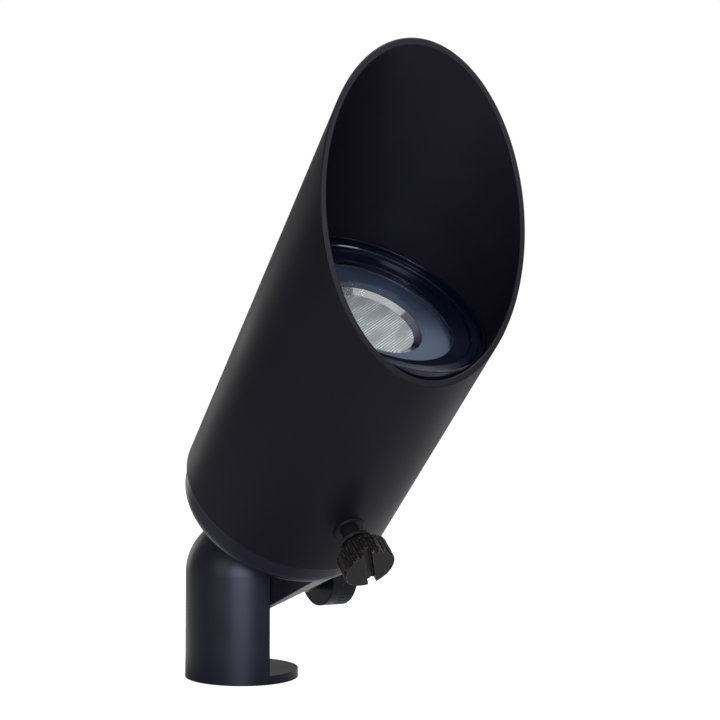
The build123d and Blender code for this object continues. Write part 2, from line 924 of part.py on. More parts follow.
with BuildPart() as tilt_spring_washer:
    ring(
        tilt_plane(spring_washer_x),
        tilt_screw_radius + screw_hole_clearance + spring_washer_width,
        tilt_screw_radius + screw_hole_clearance,
        spring_washer_thickness,
    )
    with BuildSketch(tilt_plane(spring_washer_x)):
        with Locations((0, tilt_screw_radius + spring_washer_width / 2)):
            Rectangle(spring_washer_split, 2 * spring_washer_width)
    extrude(amount=spring_washer_thickness, mode=Mode.SUBTRACT)
tilt_spring_washer.part.label = "tilt_spring_washer"
export_step(tilt_spring_washer.part, "parts/tilt_spring_washer.step")

tilt_head_end = tilt_head_x + tilt_head_thickness

with BuildPart() as tilt_screw:
    turned(
        [
            (0, tilt_head_x),
            (tilt_head_radius - edge_round, tilt_head_x),
            (tilt_head_radius, tilt_head_x + edge_round),
            (tilt_head_radius, tilt_head_end - tilt_flute_depth),
            (tilt_head_radius - tilt_flute_depth, tilt_head_end),
            (0, tilt_head_end),
        ],
        tilt_profile,
        tilt_axis,
    )
    flutes(
        tilt_plane(tilt_head_x + tilt_collar_length),
        tilt_head_radius,
        tilt_head_thickness - tilt_collar_length,
        tilt_flutes,
        tilt_flute_radius,
        tilt_flute_depth,
    )
    slot(tilt_plane(tilt_head_end), 2 * (tilt_head_radius + slot_width), 0)
    turned(
        [
            (0, tilt_tip_x),
            (tilt_screw_radius - edge_round, tilt_tip_x),
            (tilt_screw_radius, tilt_tip_x + edge_round),
            (tilt_screw_radius, tilt_hub_x),
            (tilt_hub_radius, tilt_hub_x),
            (tilt_hub_radius, tilt_head_x),
            (0, tilt_head_x),
        ],
        tilt_profile,
        tilt_axis,
    )
tilt_screw.part.label = "tilt_screw"
export_step(tilt_screw.part, "parts/tilt_screw.step")
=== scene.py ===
"""Dresses the garden spotlight: finishes for every piece, the lamp's optic, a thread, light and camera."""

import logging
import math
from dataclasses import dataclass, field
from enum import Enum

import bpy
from mathutils import Euler, Matrix, Vector


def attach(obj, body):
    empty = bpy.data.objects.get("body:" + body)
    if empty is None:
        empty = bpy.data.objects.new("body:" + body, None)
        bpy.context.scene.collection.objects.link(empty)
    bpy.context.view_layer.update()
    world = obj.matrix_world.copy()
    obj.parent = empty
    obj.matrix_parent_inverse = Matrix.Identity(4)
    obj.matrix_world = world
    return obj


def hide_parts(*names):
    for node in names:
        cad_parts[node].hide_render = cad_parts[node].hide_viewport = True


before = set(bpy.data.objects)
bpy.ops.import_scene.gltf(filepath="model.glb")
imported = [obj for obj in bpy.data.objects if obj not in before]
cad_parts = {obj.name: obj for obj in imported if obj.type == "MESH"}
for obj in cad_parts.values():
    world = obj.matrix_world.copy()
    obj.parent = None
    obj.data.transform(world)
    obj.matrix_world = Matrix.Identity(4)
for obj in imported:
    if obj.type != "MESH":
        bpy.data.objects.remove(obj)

log = logging.getLogger("spotlight")

MM = 0.001

# Blender's wave texture repeats every 0.314 / scale.
WAVE_REPEAT = 0.314
# Noise values between which a finish's roughness drifts.
DRIFT_LOW, DRIFT_HIGH = 0.3, 0.7
# The prism rows, painted highlight and painted shade in the colour, come and go in blotches that are
# stretched along the rows, and rest at one shade between.
ROW_STRETCH = 0.22
ROWS_FADE, ROWS_FULL = 0.38, 0.66
ROWS_REST = 0.3
# Lighter edges, partly wear and partly painted highlight, start where the rounded normal parts from the
# true one by the first cosine, are full at the second, and are broken up by spots.
WEAR_AND_GLINT_START, WEAR_AND_GLINT_FULL = 0.985, 0.9
WEAR_AND_GLINT_SPOT_MM = 0.9
SPOT_FADE, SPOT_FULL = 0.45, 0.7
WEAR_AND_GLINT_SAMPLES, EDGE_SAMPLES = 6, 4
# How much narrower rolling streaks are than long, and how strongly every relief bends the normal.
ROLLING_SQUEEZE = 8.0
RELIEF_STRENGTH = 0.6

# The tube leans 45 degrees towards -Y from the tilt pivot, 32 mm above the base.
LEAN = math.radians(45.0)
PIVOT = Vector((0.0, 0.0, 32.0 * MM))
TUBE_TO_ROW = Matrix.Translation(PIVOT) @ Matrix.Rotation(LEAN, 4, "X")


class TurningAxis(Enum):
    """The three lines that pieces were turned about, as (rotation about X, shift in mm, ring direction)."""

    TUBE = (-LEAN, (0.0, -22.627, -22.627), "Z")
    LOCK = (-LEAN, (0.0, -22.627, -80.527), "Y")
    TILT = (0.0, (0.0, 0.0, -32.0), "X")


class Surface(Enum):
    """How a surface was made, which sets its fine relief and, for prisms, painted highlight and shade."""

    SPRAYED = "sprayed"
    TURNED = "turned"
    ROLLED = "rolled"
    MOULDED = "moulded"
    POLISHED = "polished"
    PRISMATIC = "prismatic"


def linear(hex_colour: str, alpha: float = 1.0) -> tuple[float, float, float, float]:
    """Turns an sRGB hex colour into the linear values that shaders take.

    Args:
        hex_colour: six hex digits, with or without a leading #.
        alpha: the fourth value of the result.

    Returns:
        Red, green, blue and alpha, each from 0 to 1.
    """
    digits = hex_colour.lstrip("#")
    parts = [int(digits[i : i + 2], 16) / 255.0 for i in (0, 2, 4)]
    red, green, blue = (c / 12.92 if c <= 0.04045 else ((c + 0.055) / 1.055) ** 2.4 for c in parts)
    return red, green, blue, alpha


def add_node(
    tree: bpy.types.NodeTree,
    kind: str,
    settings: dict[str, object] | None = None,
    inputs: dict[str | int, object] | None = None,
) -> bpy.types.Node:
    """Adds a node with its settings and links.

    Args:
        tree: the node tree that gets the node.
        kind: the node's type name.
        settings: attribute name to value.
        inputs: input name or number to a value, or to the output socket that feeds it.

    Returns:
        The new node.
    """
    node = tree.nodes.new(kind)
    for key, value in (settings or {}).items():
        setattr(node, key, value)
    for key, value in (inputs or {}).items():
        if isinstance(value, bpy.types.NodeSocket):
            tree.links.new(value, node.inputs[key])
        else:
            node.inputs[key].default_value = value
    return node


@dataclass(frozen=True)
class Finish:
    """A real material and the way its surface was made, as one shader.

    The colour drifts between colour and drift over areas of patch_mm; on a prismatic face it follows the
    prism rows instead, as painted highlight and painted shade. The relief is grain_mm wide and
    grain_depth_mm deep.
    edge_mm is the radius that broken edges catch the light with, and worn is the lighter colour along them,
    worn_and_glint_mm wide: partly wear from handling, partly painted highlight. alpha below 1 lets light
    straight through, and turn is the angle of prism rows, in degrees about the tube.
    """

    name: str
    colour: str
    drift_and_prism_highlight: str
    roughness: float
    roughness_spread: float = 0.05
    metallic: float = 0.0
    ior: float = 1.5
    specular: float = 0.5
    transmission: float = 0.0
    coat: float = 0.0
    sheen: float = 0.0
    surface: Surface = Surface.MOULDED
    axis: TurningAxis = TurningAxis.TUBE
    grain_mm: float = 0.3
    grain_depth_mm: float = 0.01
    patch_mm: float = 9.0
    edge_mm: float = 0.0
    worn_and_glint: str = ""
    worn_and_glint_mm: float = 0.12
    alpha: float = 1.0
    turn: float = 0.0

    def material(self) -> bpy.types.Material:
        """Builds the shader, or returns it if it was built before.

        Returns:
            The Blender material of this finish.
        """
        known = bpy.data.materials.get(self.name)
        if known:
            return known
        material = bpy.data.materials.new(self.name)
        material.use_nodes = True
        tree = material.node_tree
        tree.nodes.clear()
        place = add_node(tree, "ShaderNodeTexCoord").outputs["Object"]
        drift_and_painted_prism_light = add_node(
            tree,
            "ShaderNodeTexNoise",
            {"noise_dimensions": "3D"},
            {"Vector": place, "Scale": 1.0 / (self.patch_mm * MM), "Detail": 3.0, "Roughness": 0.5},
        ).outputs["Fac"]
        # A prismatic face takes its colour from the prism rows: painted highlight on one slope, painted
        # shade on the other.
        if self.surface is Surface.PRISMATIC:
            drift_and_painted_prism_light = self._prism_relief_and_painted_light(tree, place)
        colour = add_node(
            tree,
            "ShaderNodeMix",
            {"data_type": "RGBA"},
            {0: drift_and_painted_prism_light, 6: linear(self.colour), 7: linear(self.drift_and_prism_highlight)},
        ).outputs[2]
        if self.worn_and_glint:
            colour = self._wear_and_glint(tree, place, colour)
        rough = add_node(
            tree,
            "ShaderNodeMapRange",
            {},
            {
                "Value": drift_and_painted_prism_light,
                "From Min": DRIFT_LOW,
                "From Max": DRIFT_HIGH,
                "To Min": self.roughness - self.roughness_spread,
                "To Max": self.roughness + self.roughness_spread,
            },
        ).outputs[0]
        inputs: dict[str | int, object] = {
            "Base Color": colour,
            "Roughness": rough,
            "Metallic": self.metallic,
            "IOR": self.ior,
            "Specular IOR Level": self.specular,
            "Transmission Weight": self.transmission,
            "Coat Weight": self.coat,
            "Sheen Weight": self.sheen,
            "Alpha": self.alpha,
            "Normal": self._relief(tree, place),
        }
        shader = add_node(tree, "ShaderNodeBsdfPrincipled", {}, inputs)
        add_node(tree, "ShaderNodeOutputMaterial", {}, {"Surface": shader.outputs[0]})
        material.diffuse_color = linear(self.colour)
        return material

    def _prism_relief_and_painted_light(self, tree: bpy.types.NodeTree, place: bpy.types.NodeSocket) -> bpy.types.NodeSocket:
        """Draws the rows of prisms, each row bright on one slope and dark on the other.

        In the colour, the bright slopes are painted highlight and the dark slopes painted shade.

        Args:
            tree: the material's node tree.
            place: the piece's own coordinates.

        Returns:
            A pattern from 0 to 1, in rows that are grain_mm apart.
        """
        level = add_node(
            tree, "ShaderNodeMapping", {}, {"Vector": place, "Rotation": (-LEAN, 0.0, 0.0)}
        ).outputs[0]
        spot = add_node(
            tree,
            "ShaderNodeMapping",
            {},
            {"Vector": level, "Rotation": (0.0, 0.0, math.radians(-self.turn))},
        ).outputs[0]
        rows = add_node(
            tree,
            "ShaderNodeTexWave",
            {"wave_type": "BANDS", "bands_direction": "X", "wave_profile": "SAW"},
            {"Vector": spot, "Scale": WAVE_REPEAT / (self.grain_mm * MM), "Distortion": 0.4, "Detail": 1.0},
        ).outputs["Fac"]
        lengths = add_node(
            tree, "ShaderNodeMapping", {}, {"Vector": spot, "Scale": (1.0, ROW_STRETCH, 1.0)}
        ).outputs[0]
        breaks = add_node(
            tree,
            "ShaderNodeTexNoise",
            {},
            {"Vector": lengths, "Scale": 1.0 / (self.patch_mm * MM), "Detail": 2.0},
        ).outputs["Fac"]
        strong = add_node(
            tree,
            "ShaderNodeMapRange",
            {},
            {"Value": breaks, "From Min": ROWS_FADE, "From Max": ROWS_FULL},
        ).outputs[0]
        return add_node(
            tree, "ShaderNodeMix", {"data_type": "FLOAT"}, {0: strong, 2: ROWS_REST, 3: rows}
        ).outputs[0]

    def _wear_and_glint(
        self, tree: bpy.types.NodeTree, place: bpy.types.NodeSocket, colour: bpy.types.NodeSocket
    ) -> bpy.types.NodeSocket:
        """Lightens outer edges, broken up by a fine noise: partly wear, partly painted highlight along the
        edges.

        Args:
            tree: the material's node tree.
            place: the piece's own coordinates.
            colour: the colour before its edges are lightened.

        Returns:
            The colour with its lighter edges.
        """
        true_normal = add_node(tree, "ShaderNodeNewGeometry").outputs["Normal"]
        round_normal = add_node(
            tree, "ShaderNodeBevel", {"samples": WEAR_AND_GLINT_SAMPLES}, {"Radius": self.worn_and_glint_mm * MM}
        ).outputs[0]
        match = add_node(
            tree, "ShaderNodeVectorMath", {"operation": "DOT_PRODUCT"}, {0: true_normal, 1: round_normal}
        ).outputs["Value"]
        edge = add_node(
            tree,
            "ShaderNodeMapRange",
            {},
            {
                "Value": match,
                "From Min": WEAR_AND_GLINT_START,
                "From Max": WEAR_AND_GLINT_FULL,
                "To Min": 0.0,
                "To Max": 1.0,
            },
        ).outputs[0]
        noise = add_node(
            tree,
            "ShaderNodeTexNoise",
            {},
            {"Vector": place, "Scale": 1.0 / (WEAR_AND_GLINT_SPOT_MM * MM), "Detail": 3.0},
        ).outputs["Fac"]
        breaks = add_node(
            tree,
            "ShaderNodeMapRange",
            {},
            {"Value": noise, "From Min": SPOT_FADE, "From Max": SPOT_FULL},
        ).outputs[0]
        amount = add_node(
            tree, "ShaderNodeMath", {"operation": "MULTIPLY"}, {0: edge, 1: breaks}
        ).outputs[0]
        return add_node(
            tree, "ShaderNodeMix", {"data_type": "RGBA"}, {0: amount, 6: colour, 7: linear(self.worn_and_glint)}
        ).outputs[2]

    def _relief(self, tree: bpy.types.NodeTree, place: bpy.types.NodeSocket) -> bpy.types.NodeSocket:
        """Makes the fine relief that the surface's making left.

        Args:
            tree: the material's node tree.
            place: the piece's own coordinates.

        Returns:
            The bent surface normal.
        """
        if self.surface is Surface.TURNED:
            turn, shift, direction = self.axis.value
            spot = add_node(
                tree,
                "ShaderNodeMapping",
                {},
                {
                    "Vector": place,
                    "Rotation": (turn, 0.0, 0.0),
                    "Location": tuple(value * MM for value in shift),
                },
            ).outputs[0]
            height = add_node(
                tree,
                "ShaderNodeTexWave",
                {"wave_type": "RINGS", "rings_direction": direction},
                {"Vector": spot, "Scale": WAVE_REPEAT / (self.grain_mm * MM), "Distortion": 0.6},
            ).outputs["Fac"]
        elif self.surface is Surface.PRISMATIC:
            height = self._prism_relief_and_painted_light(tree, place)
        else:
            squeeze = (ROLLING_SQUEEZE if self.surface is Surface.ROLLED else 1.0, 1.0, 1.0)
            spot = add_node(
                tree, "ShaderNodeMapping", {}, {"Vector": place, "Scale": squeeze}
            ).outputs[0]
            height = add_node(
                tree,
                "ShaderNodeTexNoise",
                {},
                {"Vector": spot, "Scale": 1.0 / (self.grain_mm * MM), "Detail": 2.0},
            ).outputs["Fac"]
        bump_inputs: dict[str | int, object] = {
            "Height": height,
            "Strength": 0.0 if self.surface is Surface.POLISHED else RELIEF_STRENGTH,
            "Distance": self.grain_depth_mm * MM,
        }
        if self.edge_mm:
            bump_inputs["Normal"] = add_node(
                tree, "ShaderNodeBevel", {"samples": EDGE_SAMPLES}, {"Radius": self.edge_mm * MM}
            ).outputs[0]
        return add_node(tree, "ShaderNodeBump", {}, bump_inputs).outputs[0]


# Polyester powder on die-cast aluminium: sprayed dry and baked, so it flows into a faint orange peel. It is
# satin and nearly black with a cold cast, goes grey only where it is seen at a grazing angle, and its edges
# are round where the powder built up.
POWDER_ON_CASTING = Finish(
    "powder_coated_die_cast_aluminium",
    "#0a090f",
    "#0f0e15",
    0.35,
    ior=1.5,
    specular=0.11,
    surface=Surface.SPRAYED,
    grain_mm=0.5,
    grain_depth_mm=0.006,
    patch_mm=14.0,
    edge_mm=0.25,
)
# The same powder on drawn tube, which is smoother under the coat than the casting. Its colour is written
# darker than the casting's as painted shade, so that the tube reads darker than the stem.
POWDER_ON_TUBE = Finish(
    "powder_coated_drawn_aluminium",
    "#08070a",
    "#0b0a0e",
    0.42,
    ior=1.5,
    specular=0.06,
    surface=Surface.SPRAYED,
    grain_mm=0.6,
    grain_depth_mm=0.004,
    patch_mm=22.0,
    edge_mm=0.2,
)
# Brass turned on a lathe and blackened in a bath: the brown-black oxide hides nearly all of the metal's own
# shine. The flute edges are lighter, partly wear after a few turns by hand and partly painted highlight.
# The lathe's rings are drawn coarser than real ones, here and below, so that they show.
BLACKENED_BRASS = Finish(
    "black_oxide_turned_brass",
    "#0b0908",
    "#100d0b",
    0.34,
    metallic=0.1,
    specular=0.06,
    surface=Surface.TURNED,
    axis=TurningAxis.LOCK,
    grain_mm=0.3,
    grain_depth_mm=0.004,
    patch_mm=4.0,
    edge_mm=0.08,
    worn_and_glint="#7d766f",
)
# The same blackened brass on the clamp screw, turned about the tilt axis; its lighter flute edges are
# partly wear and partly painted highlight.
BLACKENED_BRASS_CLAMP = Finish(
    "black_oxide_turned_brass_clamp",
    "#07090a",
    "#0b0e0e",
    0.34,
    metallic=0.1,
    specular=0.08,
    surface=Surface.TURNED,
    axis=TurningAxis.TILT,
    grain_mm=0.35,
    grain_depth_mm=0.004,
    patch_mm=5.0,
    edge_mm=0.1,
    worn_and_glint="#5d5f5c",
)
# Stainless spring steel, punched from strip and darkened by oil hardening: dull grey with rolling streaks.
DARK_STAINLESS = Finish(
    "oil_hardened_stainless_steel",
    "#3a3a3d",
    "#4a4a4c",
    0.35,
    metallic=1.0,
    surface=Surface.ROLLED,
    grain_mm=0.2,
    grain_depth_mm=0.004,
    patch_mm=3.0,
    edge_mm=0.08,
)
# Aluminium turned, then dyed black in the anodising bath: the clear oxide over dye gives it a deep navy
# shine, and the lathe's rings still show as fine bright lines.
BLACK_ANODISED = Finish(
    "black_anodised_turned_aluminium",
    "#04060d",
    "#060914",
    0.22,
    metallic=0.35,
    specular=0.25,
    coat=0.15,
    surface=Surface.TURNED,
    grain_mm=0.45,
    grain_depth_mm=0.005,
    patch_mm=12.0,
    edge_mm=0.3,
)
# Tempered float glass with a ground edge: clear, flat and hard, with a faint blue in its thickness.
TEMPERED_GLASS = Finish(
    "tempered_float_glass",
    "#eef5ff",
    "#f4f8ff",
    0.01,
    roughness_spread=0.005,
    ior=1.52,
    transmission=1.0,
    surface=Surface.POLISHED,
    patch_mm=30.0,
    alpha=0.05,
)
# The lamp's face ring: spun aluminium under a blue-grey lacquer, satin, so it takes a soft gradient.
LACQUERED_FACE = Finish(
    "lacquered_spun_aluminium",
    "#252e38",
    "#2d3844",
    0.38,
    metallic=0.35,
    coat=0.15,
    surface=Surface.TURNED,
    grain_mm=0.5,
    grain_depth_mm=0.003,
    patch_mm=16.0,
)
# Reflector: aluminium deposited in vacuum on moulded plastic, as bright as a mirror.
VACUUM_METALLISED = Finish(
    "vacuum_metallised_reflector",
    "#f3f5f7",
    "#fafbfb",
    0.09,
    roughness_spread=0.02,
    metallic=1.0,
    surface=Surface.TURNED,
    grain_mm=0.9,
    grain_depth_mm=0.001,
    patch_mm=6.0,
)
# Injection-moulded polycarbonate optic: water-clear, with a face full of tiny prisms. The rows' bright and
# dark
# slopes are painted into its colour: the dark first colour is painted shade, the light second one painted
# highlight. The prisms are drawn 0.64 mm apart, coarser than real ones, so that the rows show.
CLEAR_POLYCARBONATE = Finish(
    "moulded_clear_polycarbonate",
    "#1f201d",
    "#adb3aa",
    0.12,
    ior=1.585,
    transmission=0.15,
    surface=Surface.PRISMATIC,
    grain_mm=0.64,
    grain_depth_mm=0.2,
    patch_mm=2.6,
    turn=-54.4,
)
# Bare die-cast aluminium of the lamp's fins, shot-blasted to an even light grey.
BLASTED_ALUMINIUM = Finish(
    "shot_blasted_cast_aluminium",
    "#8f9296",
    "#a2a5a8",
    0.5,
    metallic=1.0,
    surface=Surface.SPRAYED,
    grain_mm=0.25,
    grain_depth_mm=0.02,
    patch_mm=7.0,
    edge_mm=0.15,
)
# White solder mask over the lamp's board, flat and slightly glossy.
SOLDER_MASK = Finish(
    "white_solder_mask", "#d9d8d2", "#e6e5e0", 0.35, surface=Surface.MOULDED, grain_mm=0.4, patch_mm=6.0
)
# Thermoplastic polyester of the lamp's lower cap, moulded with a fine spark-eroded grain.
MOULDED_POLYESTER = Finish(
    "moulded_white_polyester",
    "#c9c6bd",
    "#d4d1c9",
    0.45,
    surface=Surface.MOULDED,
    grain_mm=0.25,
    grain_depth_mm=0.012,
    patch_mm=8.0,
    edge_mm=0.15,
)
# Nickel over brass on the pins and contacts: warm silver, drawn along its length.
NICKELLED_BRASS = Finish(
    "nickel_plated_brass",
    "#b9b09c",
    "#c9c2b0",
    0.25,
    metallic=1.0,
    surface=Surface.ROLLED,
    grain_mm=0.2,
    grain_depth_mm=0.003,
    patch_mm=2.0,
)
# Steatite: pressed and fired unglazed, so it is matt, cream white and very slightly rough.
STEATITE = Finish(
    "fired_steatite_ceramic",
    "#d8d2c3",
    "#e3dece",
    0.6,
    ior=1.6,
    surface=Surface.MOULDED,
    grain_mm=0.35,
    grain_depth_mm=0.03,
    patch_mm=4.0,
    edge_mm=0.2,
)
# Zinc-plated strip steel: bluish grey with rolling streaks under the plating.
ZINC_PLATED_STEEL = Finish(
    "zinc_plated_strip_steel",
    "#9da2a8",
    "#b4b8bd",
    0.3,
    metallic=1.0,
    surface=Surface.ROLLED,
    grain_mm=0.25,
    grain_depth_mm=0.005,
    patch_mm=4.0,
    edge_mm=0.1,
)
# Silicone sleeve and seals: extruded, matt black, with the soft bloom of rubber at grazing angles.
BLACK_SILICONE = Finish(
    "extruded_black_silicone",
    "#141414",
    "#1b1b1b",
    0.62,
    ior=1.41,
    sheen=0.15,
    surface=Surface.MOULDED,
    grain_mm=0.3,
    grain_depth_mm=0.01,
    patch_mm=6.0,
)
# Natural nylon of the slip ring and washer: milky, slightly waxy.
NATURAL_NYLON = Finish(
    "moulded_natural_nylon",
    "#cfc8b6",
    "#dad4c4",
    0.48,
    ior=1.53,
    surface=Surface.MOULDED,
    grain_mm=0.3,
    grain_depth_mm=0.01,
    patch_mm=9.0,
)


def dress(finishes: dict[str, Finish]) -> None:
    """Gives CAD nodes their finishes.

    Args:
        finishes: node name to finish.
    """
    for name, finish in finishes.items():
        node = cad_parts[name]
        node.data.materials.clear()
        node.data.materials.append(finish.material())
        log.info("dressed %s in %s", name, finish.name)


def new_piece(
    name: str,
    points: list[Vector],
    faces: list[tuple[int, ...]],
    finish: Finish,
    body: str,
    smooth: bool = True,
) -> bpy.types.Object:
    """Makes a mesh piece that rides on a body.

    Args:
        name: the piece's name.
        points: its points in the row frame, in metres.
        faces: its faces, as point numbers.
        finish: what it is made of.
        body: the CAD body that carries it.
        smooth: whether its faces are shaded smooth.

    Returns:
        The new object.
    """
    mesh = bpy.data.meshes.new(name)
    mesh.from_pydata([tuple(point) for point in points], [], faces)
    mesh.materials.append(finish.material())
    mesh.polygons.foreach_set("use_smooth", [smooth] * len(mesh.polygons))
    mesh.update()
    piece = bpy.data.objects.new(name, mesh)
    bpy.context.scene.collection.objects.link(piece)
    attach(piece, body)
    log.info("made %s with %d faces", name, len(faces))
    return piece


@dataclass
class Knuckle:
    """The cast stem on its flange, with the seal and slip washer in the joint."""

    finishes: dict[str, Finish] = field(
        default_factory=lambda: {
            "knuckle_stem": POWDER_ON_CASTING,
            "knuckle_seal": BLACK_SILICONE,
            "knuckle_washer": NATURAL_NYLON,
        }
    )

    def build(self) -> None:
        """Dresses the knuckle."""
        dress(self.finishes)


@dataclass
class Housing:
    """The cast housing with its washer, cushion and gasket."""

    finishes: dict[str, Finish] = field(
        default_factory=lambda: {
            "lamp_housing": POWDER_ON_CASTING,
            "tilt_flat_washer": DARK_STAINLESS,
            "lamp_cushion": BLACK_SILICONE,
            "lens_gasket": BLACK_SILICONE,
            "lead_wires": BLACK_SILICONE,
            "lead_grommet": BLACK_SILICONE,
        }
    )

    def build(self) -> None:
        """Dresses the housing."""
        dress(self.finishes)


@dataclass
class Shroud:
    """The tube with the slanted mouth, its bush and the ring it slides on."""

    finishes: dict[str, Finish] = field(
        default_factory=lambda: {
            "shroud": POWDER_ON_TUBE,
            "screw_bush": POWDER_ON_TUBE,
            "glide_ring": NATURAL_NYLON,
        }
    )

    def build(self) -> None:
        """Dresses the shroud."""
        dress(self.finishes)


@dataclass
class LensRing:
    """The threaded ring and the glass that it holds."""

    finishes: dict[str, Finish] = field(
        default_factory=lambda: {"lens_ring": BLACK_ANODISED, "lens_glass": TEMPERED_GLASS}
    )

    def build(self) -> None:
        """Dresses the ring and its glass."""
        dress(self.finishes)


@dataclass
class Lamp:
    """The reflector lamp behind the glass, with its socket; sizes in mm, heights along the tube."""

    optic_radius: float = 12.3
    optic_top: float = 105.2
    optic_rim: float = 0.8
    optic_foot_radius: float = 5.0
    optic_foot: float = 94.3
    prism_pitch: float = 0.64
    prism_length: float = 4.2
    prism_depth: float = 0.14
    prism_turn: float = -54.4
    row_shift: float = 0.37
    line_share: float = 0.65
    brick_share: float = 0.35
    rim_fade: float = 1.2
    rings: int = 96
    spokes: int = 320
    finishes: dict[str, Finish] = field(
        default_factory=lambda: {
            "lamp_heatsink": BLASTED_ALUMINIUM,
            "lamp_bezel": LACQUERED_FACE,
            "lamp_reflector": VACUUM_METALLISED,
            "lamp_optic": CLEAR_POLYCARBONATE,
            "lamp_board": SOLDER_MASK,
            "lamp_base": MOULDED_POLYESTER,
            "lamp_pins": NICKELLED_BRASS,
            "lamp_socket": STEATITE,
            "socket_contacts": NICKELLED_BRASS,
            "socket_bracket": ZINC_PLATED_STEEL,
            "socket_screws": ZINC_PLATED_STEEL,
            "bracket_screws": ZINC_PLATED_STEEL,
        }
    )

    def build(self) -> None:
        """Dresses the lamp and puts the patterned optic in it."""
        dress(self.finishes)
        self._optic()

    def _sink(self, x: float, y: float) -> float:
        """Depth of the prisms below the optic's face.

        Args:
            x: place across the face, in mm.
            y: place across the face, in mm.

        Returns:
            Depth in mm, 0 at the prisms' crests and all along the rim.
        """
        turn = math.radians(self.prism_turn)
        across = x * math.cos(turn) + y * math.sin(turn)
        down = y * math.cos(turn) - x * math.sin(turn)
        row = math.floor(across / self.prism_pitch)
        line = abs(math.sin(math.pi * across / self.prism_pitch))
        along = down + self.row_shift * row * self.prism_length
        brick = abs(math.sin(math.pi * along / self.prism_length))
        fade = min(1.0, (self.optic_radius - math.hypot(x, y)) / self.rim_fade)
        return self.prism_depth * fade * (1.0 - self.line_share * line - self.brick_share * brick)

    def _optic(self) -> None:
        """Builds the optic: a face of prisms in staggered rows over a tapering body."""
        points = [TUBE_TO_ROW @ (Vector((0.0, 0.0, self.optic_top - self._sink(0.0, 0.0))) * MM)]
        outline = [(self.optic_radius * i / self.rings, None) for i in range(1, self.rings + 1)]
        outline += [
            (self.optic_radius, self.optic_top - self.optic_rim),
            (self.optic_foot_radius, self.optic_foot),
        ]
        for radius, height in outline:
            for k in range(self.spokes):
                angle = 2.0 * math.pi * k / self.spokes
                x, y = radius * math.cos(angle), radius * math.sin(angle)
                z = self.optic_top - self._sink(x, y) if height is None else height
                points.append(TUBE_TO_ROW @ (Vector((x, y, z)) * MM))
        faces: list[tuple[int, ...]] = [
            (0, 1 + k, 1 + (k + 1) % self.spokes) for k in range(self.spokes)
        ]
        for i in range(len(outline) - 1):
            low, high = 1 + i * self.spokes, 1 + (i + 1) * self.spokes
            for k in range(self.spokes):
                after = (k + 1) % self.spokes
                faces.append((low + k, high + k, high + after, low + after))
        last = 1 + (len(outline) - 1) * self.spokes
        faces.append(tuple(reversed(range(last, last + self.spokes))))
        piece = new_piece("prism_optic", points, faces, CLEAR_POLYCARBONATE, "head")
        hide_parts("lamp_optic")


@dataclass
class Screws:
    """The two thumbscrews with their washers; sizes in mm."""

    thread_radius: float = 2.48
    thread_depth: float = 0.42
    thread_pitch: float = 0.8
    thread_start: float = 29.3
    thread_end: float = 37.8
    thread_foot: float = 0.36
    thread_crest: float = 0.05
    lock_height: float = 57.9
    steps: int = 40
    finishes: dict[str, Finish] = field(
        default_factory=lambda: {
            "shroud_screw": BLACKENED_BRASS,
            "shroud_screw_washer": DARK_STAINLESS,
            "tilt_screw": BLACKENED_BRASS_CLAMP,
            "tilt_spring_washer": DARK_STAINLESS,
        }
    )

    def build(self) -> None:
        """Dresses the screws and winds the thread on the shroud's lock screw."""
        dress(self.finishes)
        self._thread()

    def _thread(self) -> None:
        """Winds a ridge of V section round the lock screw's shank."""
        turns = (self.thread_end - self.thread_start) / self.thread_pitch
        count = int(turns * self.steps)
        section = [
            (-self.thread_foot, self.thread_depth),
            (-self.thread_crest, 0.0),
            (self.thread_crest, 0.0),
            (self.thread_foot, self.thread_depth),
        ]
        points: list[Vector] = []
        for i in range(count + 1):
            angle = 2.0 * math.pi * i / self.steps
            reach = self.thread_start + self.thread_pitch * i / self.steps
            for shift, sink in section:
                radius = self.thread_radius - sink
                spot = Vector(
                    (
                        radius * math.cos(angle),
                        -(reach + shift),
                        self.lock_height + radius * math.sin(angle),
                    )
                )
                points.append(TUBE_TO_ROW @ (spot * MM))
        width = len(section)
        faces: list[tuple[int, ...]] = []
        for i in range(count):
            for k in range(width):
                after = (k + 1) % width
                near, far = i * width, (i + 1) * width
                faces.append((near + k, near + after, far + after, far + k))
        faces.append(tuple(range(width)))
        faces.append(tuple(reversed(range(count * width, (count + 1) * width))))
        piece = new_piece("lock_screw_thread", points, faces, BLACKENED_BRASS, "shroud_screw", smooth=False)


@dataclass(frozen=True)
class Softbox:
    """A soft box: where it hangs, the point it faces, its width and height, all in mm, and its light."""

    name: str
    place: tuple[float, float, float]
    aim: tuple[float, float, float]
    size: tuple[float, float]
    watts: float
    tint: str = "#ffffff"

    def hang(self) -> None:
        """Adds the lamp to the scene."""
        data = bpy.data.lights.new(self.name, "AREA")
        data.shape, data.energy, data.color = "RECTANGLE", self.watts, linear(self.tint)[:3]
        data.size, data.size_y = (value * MM for value in self.size)
        box = bpy.data.objects.new(self.name, data)
        box.location = Vector(self.place) * MM
        facing = box.location - Vector(self.aim) * MM
        box.rotation_euler = facing.to_track_quat("Z", "Y").to_euler()
        bpy.context.scene.collection.objects.link(box)


